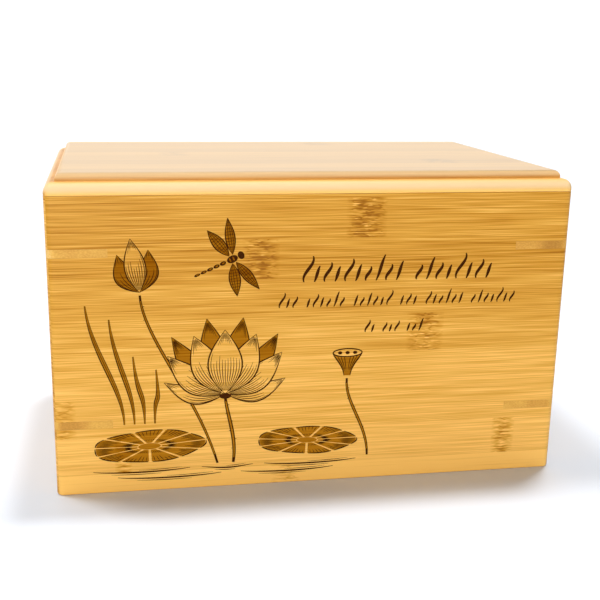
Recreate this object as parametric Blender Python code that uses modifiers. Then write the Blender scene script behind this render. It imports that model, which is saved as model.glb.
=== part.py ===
"""A bamboo cremation urn box.

Four flat-pressed bamboo boards meet in mitres, and two thin keys lie across each corner, flush
with the faces. A moulded top board closes the box, and a base panel lies in a rebate under the
walls, held by four countersunk wood screws. The box is hollow and empty.

Metres, +Z up. The origin is the middle of the underside, and the front faces -Y.
"""

import math

import bmesh
import bpy
import numpy as np

# The box
WIDTH = 0.260
DEPTH = 0.171
WALL_HEIGHT = 0.149
WALL = 0.019
CORNER_RADIUS = 0.0035
FOOT_EASE = 0.0010
CORNER_STEPS = 6
FIT_GAP = 0.0003

# The moulded top board: a rounded rim, a small step and a raised field with a rounded edge
RIM_HEIGHT = 0.0060
RIM_RADIUS = 0.0048
FIELD_INSET = 0.0054
FIELD_RISE = 0.0040
FIELD_RADIUS = 0.0030
ROUND_STEPS = 5

# The keys across the mitres. KEY_COVER is the wood left between a key and the inside corner.
KEY_COVER = 0.0067
KEY_THICKNESS = 0.0040
UPPER_KEY_BELOW_TOP = 0.0267
LOWER_KEY_ABOVE_FOOT = 0.0367

# The base panel in its rebate, and its screws
BASE_THICKNESS = 0.0090
BASE_LEDGE = 0.0095
SCREW_FROM_END = 0.0500
SCREW_LENGTH = 0.0200
SCREW_SHANK_RADIUS = 0.0015
SCREW_HEAD_RADIUS = 0.0031
SCREW_HEAD_HEIGHT = 0.0018
SCREW_POINT = 0.0030
SCREW_SINK = 0.0003
SCREW_SIDES = 16
CROSS_LENGTH = 0.0034
CROSS_WIDTH = 0.0008
CROSS_DEPTH = 0.0010

# The engraving on the front, drawn on a sheet of 260 by 149 units that is fitted to the face
ENGRAVING_DEPTH = 0.0005
SHEET_WIDTH = 260.0
SHEET_HEIGHT = 149.0
SHEET = min(WIDTH / SHEET_WIDTH, WALL_HEIGHT / SHEET_HEIGHT)
LINE = 0.45
CLEAR = 1.15
POINTS = 7

OVERSHOOT = 0.004
TOP_Z = WALL_HEIGHT + FIT_GAP
HALF_WIDTH = WIDTH / 2
HALF_DEPTH = DEPTH / 2

BAMBOO_FRONT = ((0.76, 0.46, 0.13), 0.42)
BAMBOO_SIDE = ((0.74, 0.45, 0.14), 0.42)
BAMBOO_TOP = ((0.80, 0.53, 0.19), 0.36)
BAMBOO_KEY = ((0.58, 0.34, 0.10), 0.50)
BAMBOO_BASE = ((0.72, 0.44, 0.15), 0.55)
BRASS = ((0.72, 0.53, 0.24), 0.32)


def empty_scene():
    for obj in list(bpy.data.objects):
        bpy.data.objects.remove(obj, do_unlink=True)


def collection(name):
    made = bpy.data.collections.new(name)
    bpy.context.scene.collection.children.link(made)
    return made


def material(name, colour_and_roughness, metallic=0.0):
    colour, roughness = colour_and_roughness
    made = bpy.data.materials.new(name)
    made.use_nodes = True
    shader = made.node_tree.nodes["Principled BSDF"]
    shader.inputs["Base Color"].default_value = (*colour, 1.0)
    shader.inputs["Roughness"].default_value = roughness
    shader.inputs["Metallic"].default_value = metallic
    made.diffuse_color = (*colour, 1.0)
    return made


def place(name, mesh, where, finish=None):
    obj = bpy.data.objects.new(name, mesh)
    where.objects.link(obj)
    if finish is not None:
        if not mesh.materials:
            mesh.materials.append(finish)
        obj.material_slots[0].link = "OBJECT"
        obj.material_slots[0].material = finish
    return obj


def guide(name, mesh):
    """A cutter: seen as wire, and never part of the object."""
    obj = place(name, mesh, CUTTERS)
    obj.hide_render = True
    obj.display_type = "WIRE"
    return obj


def boolean(obj, other, operation="DIFFERENCE"):
    cut = obj.modifiers.new(f"{operation.lower()} {other.name}", "BOOLEAN")
    cut.operation = operation
    cut.object = other
    return obj


def block_mesh(name, size, low_z, upright_radius=0.0, foot_ease=0.0, top_radius=0.0):
    """A block centred on the Z axis, with its upright, bottom and top edges rounded as asked."""
    mesh = bpy.data.meshes.new(name)
    bm = bmesh.new()
    bmesh.ops.create_cube(bm, size=1.0)
    bmesh.ops.scale(bm, vec=size, verts=bm.verts)
    bmesh.ops.translate(bm, vec=(0, 0, low_z + size[2] / 2), verts=bm.verts)
    middle = low_z + size[2] / 2

    def edges(kind):
        for edge in bm.edges:
            low, high = sorted(v.co.z for v in edge.verts)
            upright = high - low > size[2] / 2
            if kind == "upright" and upright:
                yield edge
            if kind == "foot" and high < middle:
                yield edge
            if kind == "top" and low > middle:
                yield edge

    def rounded(kind, radius, steps):
        if radius:
            bmesh.ops.bevel(bm, geom=list(edges(kind)), offset=radius, segments=steps,
                            profile=0.5, affect="EDGES")

    rounded("upright", upright_radius, CORNER_STEPS)
    rounded("foot", foot_ease, 2)
    rounded("top", top_radius, ROUND_STEPS)
    bm.to_mesh(mesh)
    bm.free()
    mesh.shade_smooth()
    mesh.set_sharp_from_angle(angle=math.radians(35))
    return mesh


def plate_mesh(name, outlines, thickness):
    """Flat shapes in the XY plane, each an outline of (x, y) points, as thick as asked about z = 0."""
    curve = bpy.data.curves.new(name, "CURVE")
    curve.dimensions = "2D"
    curve.fill_mode = "BOTH"
    curve.extrude = thickness / 2
    for outline in outlines:
        spline = curve.splines.new("POLY")
        spline.points.add(len(outline) - 1)
        spline.points.foreach_set("co", [c for x, y in outline for c in (x, y, 0.0, 1.0)])
        spline.use_cyclic_u = True
    source = place(name, curve, CUTTERS)
    bpy.context.view_layer.update()
    evaluated = source.evaluated_get(bpy.context.evaluated_depsgraph_get())
    mesh = bpy.data.meshes.new_from_object(evaluated)
    bpy.data.objects.remove(source)
    bm = bmesh.new()
    bm.from_mesh(mesh)
    bmesh.ops.remove_doubles(bm, verts=bm.verts, dist=1e-6)
    bmesh.ops.recalc_face_normals(bm, faces=bm.faces)
    bm.to_mesh(mesh)
    bm.free()
    return mesh


def turned(name, profile, where, finish=None):
    """A shape turned about the Z axis from (radius, z) points that run from top to bottom."""
    mesh = bpy.data.meshes.new(name)
    points = [(r, 0.0, z) for r, z in profile]
    mesh.from_pydata(points, [(i, i + 1) for i in range(len(points) - 1)], [])
    obj = place(name, mesh, where, finish)
    screw = obj.modifiers.new("turned", "SCREW")
    screw.steps = screw.render_steps = SCREW_SIDES
    screw.use_merge_vertices = True
    screw.merge_threshold = 1e-6
    return obj


# The walls


def outer_block():
    """The box's outside as one block, with its upright corners and its foot eased."""
    return block_mesh("outer_block", (WIDTH, DEPTH, WALL_HEIGHT), 0.0, CORNER_RADIUS, FOOT_EASE)


def mitre_wedge(name, half_length, half_across, turn):
    """The plan of one board: a trapezium whose slanting sides are the mitres, less half a gap each."""
    back = WALL + OVERSHOOT
    slip = FIT_GAP / math.sqrt(2)
    near, far = -half_across - OVERSHOOT, -half_across + back
    outline = [
        (-half_length - OVERSHOOT + slip, near),
        (half_length + OVERSHOOT - slip, near),
        (half_length - back - slip, far),
        (-half_length + back + slip, far),
    ]
    wedge = guide(name, plate_mesh(name, [outline], WALL_HEIGHT + 2 * OVERSHOOT))
    wedge.location.z = WALL_HEIGHT / 2
    wedge.rotation_euler.z = turn
    return wedge


def key_levels():
    return {"upper": WALL_HEIGHT - UPPER_KEY_BELOW_TOP, "lower": LOWER_KEY_ABOVE_FOOT}


def corners():
    return {"front_left": (-1, -1), "front_right": (1, -1), "back_left": (-1, 1), "back_right": (1, 1)}


def key_plan(side_x, side_y, grow=0.0):
    """A triangle across one corner, KEY_COVER short of the inside corner, its long side moved by grow."""
    reach = 2 * WALL + (grow - KEY_COVER) * math.sqrt(2) + OVERSHOOT
    x, y = side_x * (HALF_WIDTH + OVERSHOOT), side_y * (HALF_DEPTH + OVERSHOOT)
    return [(x, y), (x - side_x * (reach + OVERSHOOT), y), (x, y - side_y * (reach + OVERSHOOT))]


def key_prism(name, side_x, side_y, level, thickness, grow=0.0):
    prism = guide(name, plate_mesh(name, [key_plan(side_x, side_y, grow)], thickness))
    prism.location.z = level
    return prism


def screw_places():
    """(x, y) of each screw: over the middle of the ledge of the front and back walls."""
    x = HALF_WIDTH - SCREW_FROM_END
    y = HALF_DEPTH - WALL + BASE_LEDGE / 2
    return {name: (side_x * x, side_y * y) for name, (side_x, side_y) in corners().items()}


def screw_profile(grow=0.0):
    """A countersunk wood screw, point up, from its point down to its head."""
    shank, head = SCREW_SHANK_RADIUS + grow, SCREW_HEAD_RADIUS + grow
    top = SCREW_LENGTH + grow
    foot = SCREW_SINK if not grow else -OVERSHOOT
    cone = SCREW_SINK + SCREW_HEAD_HEIGHT
    profile = [(0.0, top), (shank, top - SCREW_POINT), (shank, cone), (head, SCREW_SINK)]
    if grow:
        profile.append((head, foot))
    return profile + [(0.0, foot)]


def walls(finish_front, finish_side):
    """The four boards: a quarter of the outer block each, hollowed, rebated, slotted and drilled."""
    block = outer_block()
    cavity = guide("cavity", block_mesh("cavity", (WIDTH - 2 * WALL, DEPTH - 2 * WALL,
                                                   WALL_HEIGHT + 2 * OVERSHOOT), -OVERSHOOT))
    rebate = guide("rebate", block_mesh("rebate", (WIDTH - 2 * (WALL - BASE_LEDGE),
                                                   DEPTH - 2 * (WALL - BASE_LEDGE),
                                                   BASE_THICKNESS + FIT_GAP + OVERSHOOT), -OVERSHOOT))
    slots = {
        (corner, level): key_prism(f"slot_{corner}_{level}", side_x, side_y, z,
                                   KEY_THICKNESS + 2 * FIT_GAP, FIT_GAP)
        for corner, (side_x, side_y) in corners().items()
        for level, z in key_levels().items()
    }
    holes = {}
    for corner, (x, y) in screw_places().items():
        holes[corner] = turned(f"hole_{corner}", screw_profile(FIT_GAP), CUTTERS)
        holes[corner].location = (x, y, 0.0)
        holes[corner].hide_render = True
        holes[corner].display_type = "WIRE"
    sides = {
        "front": (HALF_WIDTH, HALF_DEPTH, 0.0, finish_front),
        "right": (HALF_DEPTH, HALF_WIDTH, math.pi / 2, finish_side),
        "back": (HALF_WIDTH, HALF_DEPTH, math.pi, finish_side),
        "left": (HALF_DEPTH, HALF_WIDTH, -math.pi / 2, finish_side),
    }
    boards = {}
    for side, (half_length, half_across, turn, finish) in sides.items():
        board = place(f"{side}_board", block, PARTS, finish)
        boolean(board, mitre_wedge(f"wedge_{side}", half_length, half_across, turn), "INTERSECT")
        boolean(board, cavity)
        boolean(board, rebate)
        for (corner, _), slot in slots.items():
            if side in corner:
                boolean(board, slot)
        for corner, hole in holes.items():
            if corner.startswith(side):
                boolean(board, hole)
        boards[side] = board
    return boards, holes, block


def keys(block, finish):
    """Two thin triangles of bamboo across each mitre, cut flush with both faces."""
    for corner, (side_x, side_y) in corners().items():
        for level, z in key_levels().items():
            key = place(f"key_{corner}_{level}", block, PARTS, finish)
            cut = key_prism(f"plan_{key.name}", side_x, side_y, z, KEY_THICKNESS)
            boolean(key, cut, "INTERSECT")


# The top, the base and the screws


def top_board(finish):
    """A rounded rim and a raised field, worked on one board, with the box's own corners."""
    rim = block_mesh("top_board", (WIDTH, DEPTH, RIM_HEIGHT), TOP_Z, top_radius=RIM_RADIUS)
    board = place("top_board", rim, PARTS, finish)
    bite = RIM_HEIGHT / 2
    field = guide("raised_field", block_mesh(
        "raised_field", (WIDTH - 2 * FIELD_INSET, DEPTH - 2 * FIELD_INSET, bite + FIELD_RISE),
        TOP_Z + RIM_HEIGHT - bite, top_radius=FIELD_RADIUS))
    boolean(board, field, "UNION")
    plan = guide("top_plan", block_mesh(
        "top_plan", (WIDTH, DEPTH, RIM_HEIGHT + FIELD_RISE + 2 * OVERSHOOT), TOP_Z - OVERSHOOT,
        CORNER_RADIUS))
    boolean(board, plan, "INTERSECT")
    return board


def base_panel(holes, finish):
    size = (WIDTH - 2 * (WALL - BASE_LEDGE + FIT_GAP), DEPTH - 2 * (WALL - BASE_LEDGE + FIT_GAP),
            BASE_THICKNESS)
    panel = place("base_panel", block_mesh("base_panel", size, 0.0), PARTS, finish)
    for hole in holes.values():
        boolean(panel, hole)
    return panel


def screws(finish):
    """Four wood screws with a cross in each head, from below into the walls."""
    arms = [block_mesh(f"cross_{i}", size, SCREW_SINK - CROSS_DEPTH)
            for i, size in enumerate([(CROSS_LENGTH, CROSS_WIDTH, 2 * CROSS_DEPTH),
                                      (CROSS_WIDTH, CROSS_LENGTH, 2 * CROSS_DEPTH)])]
    for corner, (x, y) in screw_places().items():
        screw = turned(f"base_screw_{corner}", screw_profile(), PARTS, finish)
        screw.location = (x, y, 0.0)
        for i, arm in enumerate(arms):
            cross = guide(f"cross_{corner}_{i}", arm)
            cross.location = (x, y, 0.0)
            boolean(screw, cross)


# The engraving. A point on the sheet is a complex number: right + up * 1j, from the lower left.


def bezier(a, b, c, d, count=POINTS):
    t = np.linspace(0, 1, count)
    return (1 - t) ** 3 * a + 3 * (1 - t) ** 2 * t * b + 3 * (1 - t) * t**2 * c + t**3 * d


def tapered(width, count, ends=0.3):
    """Half widths along a stroke, full in the middle and ends times that at both ends."""
    return width * (ends + (1 - ends) * np.sin(np.pi * np.linspace(0, 1, count)))


def ribbon(path, half_widths):
    """The outline of a stroke: the path moved to each side by its half width."""
    along = np.gradient(path)
    across = 1j * along / np.abs(along) * half_widths
    return np.concatenate([path + across, (path - across)[::-1]])


def petal_line(base, tip, width, bow, share, start, end, count=POINTS):
    """A line up a petal: share -1 is its left edge, 0 its midrib and 1 its right edge."""
    t = np.linspace(start, end, count)
    axis = tip - base
    middle = base + axis * t + 1j * axis * bow * np.sin(np.pi * t)
    half = width / 2 * np.sin(np.pi * t**0.9)
    return middle - 1j * axis / abs(axis) * half * share


def petal_shape(base, tip, width, bow, count=12):
    left = petal_line(base, tip, width, bow, -1, 0.0, 1.0, count)
    right = petal_line(base, tip, width, bow, 1, 0.0, 1.0, count)
    return np.concatenate([left, right[-2:0:-1]])


def outside_distance(points, shape):
    """Distance of each point from a closed shape, negative inside it."""
    a, b = shape[None, :], np.roll(shape, -1)[None, :]
    p = points[:, None]
    edge = b - a
    share = np.clip(((p - a) * edge.conj()).real / np.abs(edge) ** 2, 0, 1)
    distance = np.abs(p - a - share * edge).min(1)
    crosses = (a.imag > p.imag) != (b.imag > p.imag)
    rise = np.where(edge.imag == 0, 1.0, edge.imag)
    at = a.real + (p.imag - a.imag) * edge.real / rise
    inside = (crosses & (p.real < at)).sum(1) % 2 == 1
    return np.where(inside, -distance, distance)


def visible(path, fronts, clear=CLEAR, fine=8):
    """The stretches of a path that no shape in front of it hides, each drawn again with even points."""
    index = np.linspace(0, len(path) - 1, (len(path) - 1) * fine + 1)
    whole = np.interp(index, np.arange(len(path)), path.real) + 1j * np.interp(
        index, np.arange(len(path)), path.imag)
    shown = np.ones(len(whole), bool)
    for shape in fronts:
        shown &= outside_distance(whole, shape) > clear
    edges = np.flatnonzero(np.diff(np.concatenate([[0], shown.astype(int), [0]])))
    for first, last in zip(edges[::2], edges[1::2]):
        run = whole[first:last]
        if np.abs(np.diff(run)).sum() > 4 * LINE:
            count = max(3, round(len(run) / fine) + 1)
            yield run[np.linspace(0, len(run) - 1, count).round().astype(int)]


class Drawing:
    """Strokes drawn from the front to the back: what is drawn later is hidden by what is there."""

    def __init__(self):
        self.outlines = []
        self.fronts = []

    def line(self, path, width=LINE, ends=0.3):
        for run in visible(path, self.fronts):
            self.outlines.append(ribbon(run, tapered(width, len(run), ends)))

    def fill(self, outline):
        self.outlines.append(outline)

    def hide_behind(self, *shapes):
        self.fronts.extend(shapes)

    def petal(self, base, tip, width, bow=0.0, veins=(-0.35, 0.35)):
        """A petal's two edges and its veins. It hides what is drawn after it."""
        self.line(petal_line(base, tip, width, bow, -1, 0.04, 0.985))
        self.line(petal_line(base, tip, width, bow, 1, 0.04, 0.94))
        for share in veins:
            self.line(petal_line(base, tip, width, bow, share, 0.12, 0.74, 5), 0.8 * LINE)
        self.hide_behind(petal_shape(base, tip, width, bow))


def lotus_bloom(drawing, heart):
    """An open lotus from the side: petals fan out from its heart, the middle one in front."""
    rows = [  # lean from upright in degrees, length, width, bow
        (0, 33, 17, 0.0), (27, 34, 15, -0.05), (54, 35, 13, -0.09), (77, 31, 9, -0.12),
        (13, 40, 14, -0.02), (41, 40, 12, -0.07),
    ]
    for lean, length, width, bow in rows:
        for side in (1, -1) if lean else (1,):
            tip = heart + length * np.exp(1j * np.pi * (0.5 - side * lean / 180))
            drawing.petal(heart, tip, width, side * bow)


def lotus_bud(drawing, heart, tip):
    """A closed bud: one petal in front, and one behind it on each side, shorter and leaning out."""
    drawing.petal(heart, tip, 10, 0.0, veins=(-0.3, 0.3))
    for side in (1, -1):
        lean = 0.8 * np.exp(-0.36j * side)
        drawing.petal(heart, heart + (tip - heart) * lean, 9, -0.12 * side, veins=())


def lily_pad(drawing, centre, half_width, half_height, tilt):
    """A floating leaf seen on the slant: sunk sectors between its ribs, with one notch."""
    ribs = 11
    turn = np.exp(1j * np.radians(tilt))

    def point(angle, share):
        rim = 1 + 0.03 * np.cos(5 * angle)
        return centre + turn * share * rim * (half_width * np.cos(angle) + 1j * half_height * np.sin(angle))

    for i in range(ribs):
        start = 2 * np.pi * (i + 0.5) / ribs + 0.5 * np.pi
        inner, outer = 0.16, 0.05
        span = 2 * np.pi / ribs
        low = point(start + inner, 0.30)
        high = point(start + span - inner, 0.30)
        arc = point(np.linspace(start + outer, start + span - outer, 5), 0.97)
        drawing.fill(np.concatenate([[low], arc, [high]]))
    drawing.hide_behind(point(np.linspace(0, 2 * np.pi, 25)[:-1], 1.0))


def seed_pod(drawing, foot, height, radius):
    """A goblet of seeds: two flaring sides, an oval rim and a row of round seeds."""
    top = foot + 1j * height
    for side in (1, -1):
        drawing.line(bezier(foot + side * 1.6, foot + side * 2.2 + 1j * height * 0.5,
                            top + side * radius - 2j, top + side * (radius - 0.4) - 1.6j))
    for turn in (0, 1):
        angles = np.linspace(0.05, 0.95, 9) * np.pi + turn * np.pi
        drawing.line(top + radius * np.cos(angles) + 0.28j * radius * np.sin(angles))
    for i in range(3):
        seed = top + (i - 1) * radius * 0.52
        drawing.fill(seed + 0.9 * np.exp(1j * np.linspace(0, 2 * np.pi, 7)[:-1]))
    drawing.hide_behind(np.array([foot - 1.6, foot + 1.6, top + radius, top - radius]))


def dragonfly(drawing, heart, heading):
    """A dragonfly from above: a head, a thorax, a long tail in joints and four narrow wings."""
    turn = np.exp(1j * np.radians(heading))

    def oval(along, long_half, wide_half):
        angles = np.linspace(0, 2 * np.pi, 9)[:-1]
        return heart + turn * (along + long_half * np.cos(angles) + 1j * wide_half * np.sin(angles))

    drawing.fill(oval(5.2, 1.5, 1.9))
    drawing.fill(oval(0.6, 2.6, 1.7))
    for i in range(5):
        drawing.fill(oval(-4.4 - 3.4 * i, 1.35, 0.95 - 0.09 * i))
    for side in (1, -1):
        for root, lean, length, width in ((1.6, 74, 18, 4.6), (-0.2, 106, 16.5, 5.4)):
            start = heart + turn * (root + 2.4j * side)
            tip = start + length * turn * np.exp(1j * side * np.radians(lean))
            drawing.petal(start, tip, width, 0.0, veins=(0.0,))


def lotus_pond(drawing):
    """The picture on the left of the face: bloom, bud, pod, pads, reeds, ripples and a dragonfly."""
    bloom, bud, pod = 84 + 50j, 43 + 103j, 146 + 57j
    lotus_bloom(drawing, bloom)
    lotus_bud(drawing, bud, 39 + 129j)
    seed_pod(drawing, pod, 12, 7.5)
    dragonfly(drawing, 87 + 118j, 24)
    lily_pad(drawing, 46 + 24j, 28, 8.4, 2)
    lily_pad(drawing, 126 + 23j, 26, 7.4, -2)
    drawing.line(bezier(bloom - 2j, 85 + 38j, 90 + 26j, 88 + 13j), 0.9, 0.7)
    drawing.line(bezier(bud - 1.5j, 44 + 80j, 70 + 50j, 80 + 13j, 12), 0.7, 0.7)
    drawing.line(bezier(pod - 1.5j, 145 + 42j, 158 + 30j, 158 + 13j), 0.7, 0.7)
    for i in range(4):
        root = 34 + 5 * i + 36j
        tip = 17 + 11 * i + (97 - 13 * i + 6 * (i % 2)) * 1j
        drawing.line(bezier(root, root + 20j, tip - 24j + 2, tip), 1.0, 0.35)
    for i, (left, right) in enumerate([(18, 66), (72, 98), (104, 152), (30, 82), (92, 140)]):
        low = 11.5 - 3.6 * (i // 3)
        drawing.line(bezier(left + 1j * low, left + 12 + 1j * (low - 1.6), right - 12 + 1j * (low - 1.6),
                            right + 1j * low), 0.5)


def script_row(drawing, middle, half_length, height, words, width):
    """A row of slanting brush strokes in groups, in place of words. None of them is a letter."""
    rises = (1.0, 0.62, 0.74, 0.58, 0.86, 0.64, 0.55)
    strokes = sum(words)
    pitch = 2 * half_length / (strokes + len(words) - 1)
    slant = 0.34
    at, n = -half_length, 0
    for word in words:
        for _ in range(word):
            rise = height * rises[n % len(rises)]
            foot = middle + at + pitch / 4 - 0.5j * height
            head = foot + rise * (slant + 1j)
            swell = 0.16 * rise * (1 if n % 2 else -1)
            drawing.line(bezier(foot, foot + swell + 0.33j * rise, head - swell - 0.33j * rise, head, 5),
                         width, 0.35)
            at, n = at + pitch, n + 1
        at += pitch


def inscription(drawing):
    """Three rows on the right of the face: a long name's size, a line of small script and a date."""
    script_row(drawing, 171.0 + 112.5j, 49.5, 13.0, (10, 8), 0.75)
    script_row(drawing, 171.5 + 97.0j, 61.5, 7.6, (3, 6, 6, 3, 6, 7), 0.45)
    script_row(drawing, 169.5 + 82.6j, 15.5, 6.4, (2, 3, 3), 0.45)


def engraving():
    """All the strokes as one cutter, standing ENGRAVING_DEPTH into the front face."""
    drawing = Drawing()
    lotus_pond(drawing)
    inscription(drawing)
    middle = SHEET_WIDTH / 2 + SHEET_HEIGHT / 2 * 1j
    placed = [(outline - middle) * SHEET for outline in drawing.outlines]
    outlines = [[(p.real, p.imag) for p in outline] for outline in placed]
    cutter = guide("engraving", plate_mesh("engraving", outlines, 2 * ENGRAVING_DEPTH))
    cutter.location = (0, -HALF_DEPTH, WALL_HEIGHT / 2)
    cutter.rotation_euler.x = math.pi / 2
    return cutter


empty_scene()
PARTS = collection("cremation_urn_box")
CUTTERS = collection("cutters")
boards, screw_holes, shared_block = walls(material("bamboo_front", BAMBOO_FRONT),
                                          material("bamboo_side", BAMBOO_SIDE))
boolean(boards["front"], engraving())
keys(shared_block, material("bamboo_key", BAMBOO_KEY))
top_board(material("bamboo_top", BAMBOO_TOP))
base_panel(screw_holes, material("bamboo_base", BAMBOO_BASE))
screws(material("brass", BRASS, 1.0))
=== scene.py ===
"""The looks of a bamboo cremation urn box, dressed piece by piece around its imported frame.

Lengths are metres in the row frame: the front faces -Y, +Z is up, and the origin is the middle
of the underside. The engraving is drawn in millimetres on the front and brought to metres.
"""

import math

import bmesh
import bpy
import numpy as np
from mathutils import Matrix, Vector
from mathutils.geometry import delaunay_2d_cdt


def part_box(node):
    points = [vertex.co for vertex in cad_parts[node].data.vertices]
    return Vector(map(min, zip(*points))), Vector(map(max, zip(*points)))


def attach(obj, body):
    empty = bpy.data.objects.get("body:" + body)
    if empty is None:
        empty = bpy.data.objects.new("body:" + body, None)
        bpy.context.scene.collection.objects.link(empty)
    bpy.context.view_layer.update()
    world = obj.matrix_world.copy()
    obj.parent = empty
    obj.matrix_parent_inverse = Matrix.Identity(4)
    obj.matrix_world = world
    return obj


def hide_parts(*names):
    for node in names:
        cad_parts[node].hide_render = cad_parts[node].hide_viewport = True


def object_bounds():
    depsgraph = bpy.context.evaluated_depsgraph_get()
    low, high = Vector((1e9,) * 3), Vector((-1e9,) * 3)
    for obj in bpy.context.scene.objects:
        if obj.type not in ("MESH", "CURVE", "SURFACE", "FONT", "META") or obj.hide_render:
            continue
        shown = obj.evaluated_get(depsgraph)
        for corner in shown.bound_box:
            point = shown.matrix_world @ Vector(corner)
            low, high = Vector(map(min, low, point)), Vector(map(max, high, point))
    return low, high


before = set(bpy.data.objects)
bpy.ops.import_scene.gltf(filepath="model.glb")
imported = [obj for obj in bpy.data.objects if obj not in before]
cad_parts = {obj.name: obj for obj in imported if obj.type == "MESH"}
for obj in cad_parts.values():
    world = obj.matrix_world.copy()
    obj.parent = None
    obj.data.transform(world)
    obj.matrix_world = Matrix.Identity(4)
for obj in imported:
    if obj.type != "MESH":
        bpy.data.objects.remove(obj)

CAD_BOX = [list(corner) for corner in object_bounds()]


# The walls: four flat-pressed bamboo boards, 19 mm thick, mitred and glued at the corners. Their
# upright edges are rounded over, the foot is eased, a rebate runs round inside for the base, and
# thin slots are sawn across each mitre for the keys.

MM = 0.001
front_low, front_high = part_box("front_board")
base_low, base_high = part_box("base_panel")
WIDTH = CAD_BOX[1][0] - CAD_BOX[0][0]
DEPTH = CAD_BOX[1][1] - CAD_BOX[0][1]
WALL = front_high.y - front_low.y
# The gap that the frame's solids keep for the glue, and the hairline joint that shows here
GLUE_GAP = 0.3 * MM
JOINT = 0.05 * MM
WALL_TOP = front_high.z + GLUE_GAP - JOINT
REBATE_TOP = base_high.z + GLUE_GAP
REBATE_BACK = base_low.y - front_low.y - GLUE_GAP
CORNER_RADIUS = 3.5 * MM
FOOT_RADIUS = 1.0 * MM
# A narrow flat beside each rounding, which keeps the shading of the faces flat
MARGIN = 0.3 * MM
FLAT_START = CORNER_RADIUS + MARGIN
QUARTER_TURNS = {"front": 0, "right": 1, "back": 2, "left": 3}
LEVELS = ("lower", "upper")
KEY_BOXES = {level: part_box(f"key_front_left_{level}") for level in LEVELS}
KEY_REACH = KEY_BOXES["upper"][1].x + WIDTH / 2
SLOT_REACH = KEY_REACH + JOINT
SLOT_HEIGHTS = [(low.z - JOINT, high.z + JOINT) for low, high in KEY_BOXES.values()]
# The half of a corner's rounding that belongs to one wall, as turns about its centre
ARC = np.radians(np.linspace(225, 270, 9))
# Points closer than this are one point, and edges turned further than this stay sharp
TOUCHING = 0.002 * MM
SHARP = math.radians(40)


def across(side):
    """How far a wall's face is from the box's middle."""
    return (DEPTH if side in ("front", "back") else WIDTH) / 2


def along(side):
    """Half a wall's length."""
    return (WIDTH if side in ("front", "back") else DEPTH) / 2


def plan(half, inset, back, slotted):
    """The plan of a wall as length + depth*1j, anticlockwise from above.

    From the corner, the left half is an arc of CORNER_RADIUS less the inset, the start of the flat
    face, the slot's reach, and the point at the back of the mitre. Where it is slotted, each point
    in front of the key's long side moves square on to it. The right half is its mirror image.
    """
    arc = CORNER_RADIUS * (1 + 1j) + (CORNER_RADIUS - inset) * np.exp(1j * ARC)
    left = np.concatenate([arc, [FLAT_START + inset * 1j, SLOT_REACH + inset * 1j]])
    if slotted:
        short = np.maximum(SLOT_REACH - left.real - left.imag, 0)
        left = left + short / 2 * (1 + 1j)
    left[0] += JOINT
    inner = back * (1 + 1j) + JOINT
    right = half - left[::-1].conj()
    return np.concatenate([left - half, right, [half - inner.conjugate(), inner - half]])


def wall_levels(half):
    """The wall's plans from the foot up, with their heights and whether they are slotted."""
    turns = np.radians(np.linspace(0, 90, 5))
    foot = [(FOOT_RADIUS * (1 - math.cos(a)), FOOT_RADIUS * (1 - math.sin(a))) for a in turns]
    rows = [(z, inset, REBATE_BACK, False) for z, inset in foot]
    rows += [(FOOT_RADIUS + MARGIN, 0, REBATE_BACK, False)]
    rows += [(REBATE_TOP, 0, REBATE_BACK, False), (REBATE_TOP, 0, WALL, False)]
    for low, high in SLOT_HEIGHTS:
        rows += [(z, 0, WALL, slotted)
                 for z, slotted in ((low, False), (low, True), (high, True), (high, False))]
    rows += [(WALL_TOP, 0, WALL, False)]
    plans = np.array([plan(half, inset, back, slotted) for _, inset, back, slotted in rows])
    return plans, np.array([row[0] for row in rows]), np.array([row[3] for row in rows])


def loft(plans, heights):
    """Points and faces of stacked plans: quads between each two, and one face at each end."""
    rows, count = plans.shape
    z = np.repeat(heights, count)
    points = np.column_stack([plans.real.ravel(), plans.imag.ravel(), z])
    i, j = np.meshgrid(np.arange(rows - 1), np.arange(count), indexing="ij")
    near, far = i * count + j, i * count + (j + 1) % count
    quads = np.stack([near, far, far + count, near + count], -1)
    last = (rows - 1) * count
    ends = [list(range(count))[::-1], list(range(last, last + count))]
    return points, quads, ends


def finished_mesh(name, points, faces, burns=None, materials=None):
    """A mesh with its doubles merged and its empty faces gone, smooth but for its real edges.

    Burns and materials give how burnt each face is, and the number of its material.
    """
    mesh = bpy.data.meshes.new(name)
    mesh.from_pydata(points.tolist(), [], faces)
    if burns is not None:
        mesh.attributes.new("burn", "FLOAT", "FACE").data.foreach_set("value", burns)
        mesh.polygons.foreach_set("material_index", materials)
    bm = bmesh.new()
    bm.from_mesh(mesh)
    bmesh.ops.remove_doubles(bm, verts=bm.verts, dist=TOUCHING)
    bmesh.ops.dissolve_degenerate(bm, edges=bm.edges, dist=TOUCHING)
    loose = [v for v in bm.verts if not v.link_faces]
    bmesh.ops.delete(bm, geom=loose, context="VERTS")
    bm.to_mesh(mesh)
    bm.free()
    mesh.shade_smooth()
    mesh.set_sharp_from_angle(angle=SHARP)
    return mesh


def turned(points, side):
    """A wall's own points (length, depth, height) brought to its place, by quarter turns about Z."""
    x, y = points[:, 0], points[:, 1] - across(side)
    for _ in range(QUARTER_TURNS[side]):
        x, y = -y, x
    return np.column_stack([x, y, points[:, 2]])


def add_piece(name, mesh, nodes, slot, *materials):
    """A piece of the box with its materials, in place of those nodes of the frame."""
    piece = bpy.data.objects.new(name, mesh)
    bpy.context.scene.collection.objects.link(piece)
    for material in materials:
        mesh.materials.append(material)
    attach(piece, "root")
    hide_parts(*nodes)


# Bamboo: strips about 20 mm wide, glued edge to edge and clear lacquered. Each strip has its own
# tone, long fine fibres, and a knuckle now and then, where the fibres break into short dashes.


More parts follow.
